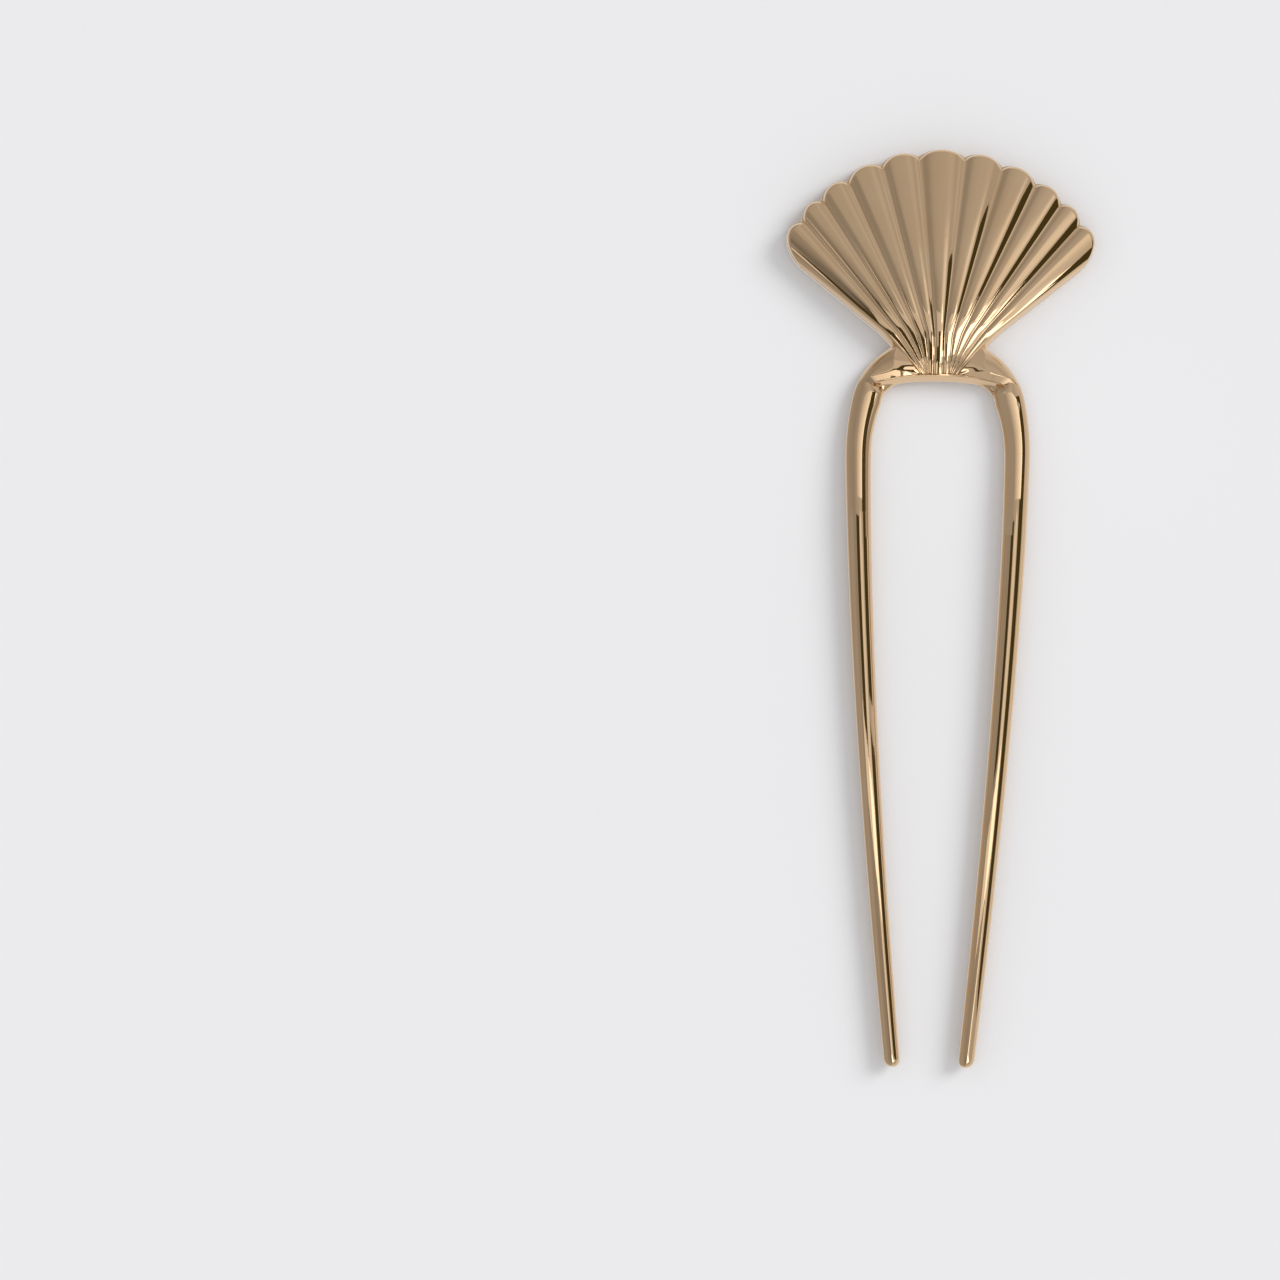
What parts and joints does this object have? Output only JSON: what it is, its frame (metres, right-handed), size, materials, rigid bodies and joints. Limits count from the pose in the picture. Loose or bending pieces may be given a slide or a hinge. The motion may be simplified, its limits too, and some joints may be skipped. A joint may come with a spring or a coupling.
{
  "type": "french hair pin",
  "caption": "Two-pronged hair pin with a fluted fan-shaped shell head, cast in one piece and plated.",
  "frame": {"origin": "middle of the pin's length and width, on the plane of its flat back", "axes": "+X to the right across the shell, +Y from the prong tips to the shell, +Z out of the fluted front"},
  "size_m": [0.041, 0.122, 0.0038],
  "materials": {
    "gold_plating": "mirror-polished pale gold plating on cast zinc alloy"
  },
  "bodies": {
    "root": {"cast_pin": "gold_plating"}
  },
  "joints": []
}
